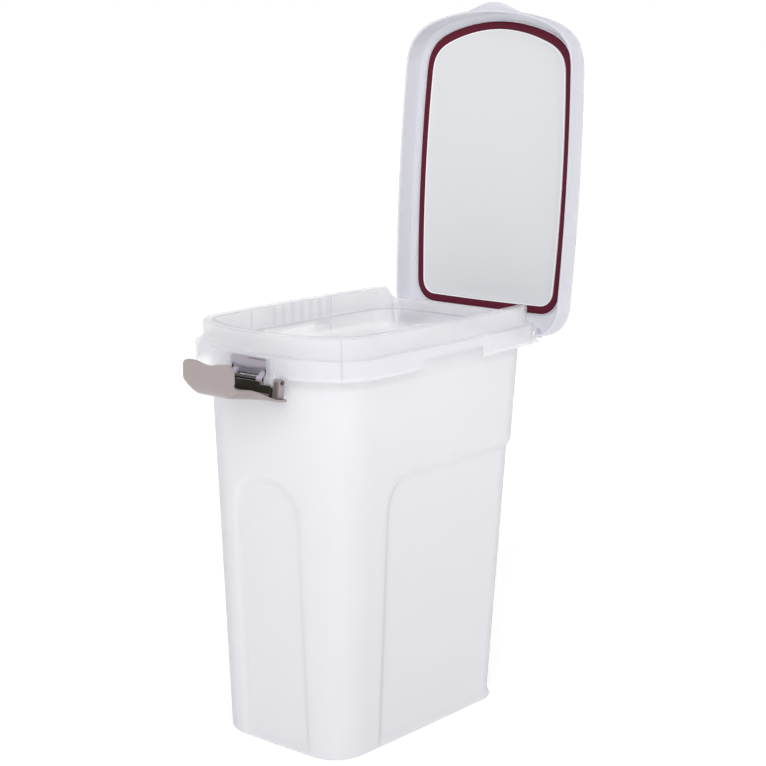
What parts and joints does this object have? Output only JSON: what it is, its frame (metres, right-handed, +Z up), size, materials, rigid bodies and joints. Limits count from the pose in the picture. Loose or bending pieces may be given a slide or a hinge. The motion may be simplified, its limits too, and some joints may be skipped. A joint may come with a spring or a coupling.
{
  "type": "flip-lid food bin",
  "caption": "Tall tapered bin with rounded corners, stepped collar, hinged lid with soft seal, and a front swing latch.",
  "frame": {"origin": "centre of the flat base that the bin stands on, midway across the width and between the rim's front and rear", "axes": "+Z up, front with the latch towards -Y, hinge at +Y, the width along X"},
  "size_m": [0.23, 0.453, 0.7383],
  "materials": {
    "tub_plastic": "translucent white moulded plastic, faint blue-grey, soft sheen",
    "lid_plastic": "translucent white moulded plastic, soft sheen",
    "panel_plastic": "near-opaque white moulded plastic, smooth",
    "seal_rubber": "dark wine-red soft seal, satin",
    "latch_plastic": "pale taupe plastic with a pearl sheen",
    "bracket_plastic": "grey moulded plastic, satin",
    "pin_metal": "plain steel rod",
    "hinge_plastic": "white moulded plastic pin"
  },
  "bodies": {
    "bin": {"bin_body": "tub_plastic", "latch_bracket": "bracket_plastic", "latch_pin": "pin_metal", "hinge_pin_left": "hinge_plastic", "hinge_pin_right": "hinge_plastic"},
    "lid": {"lid_shell": "lid_plastic", "lid_inner_panel": "panel_plastic", "lid_gasket": "seal_rubber"},
    "latch_arm": {"latch": "latch_plastic"}
  },
  "joints": [
    {"name": "lid_hinge", "type": "hinge", "parent": "bin", "child": "lid", "pos_m": [0, 0.1682, 0.3935], "axis": [1, 0, 0], "range_deg": [0, 93.9]},
    {"name": "latch_pivot", "type": "hinge", "parent": "bin", "child": "latch_arm", "pos_m": [0, -0.1699, 0.385], "axis": [-1, 0, 0], "range_deg": [0, 90]}
  ]
}
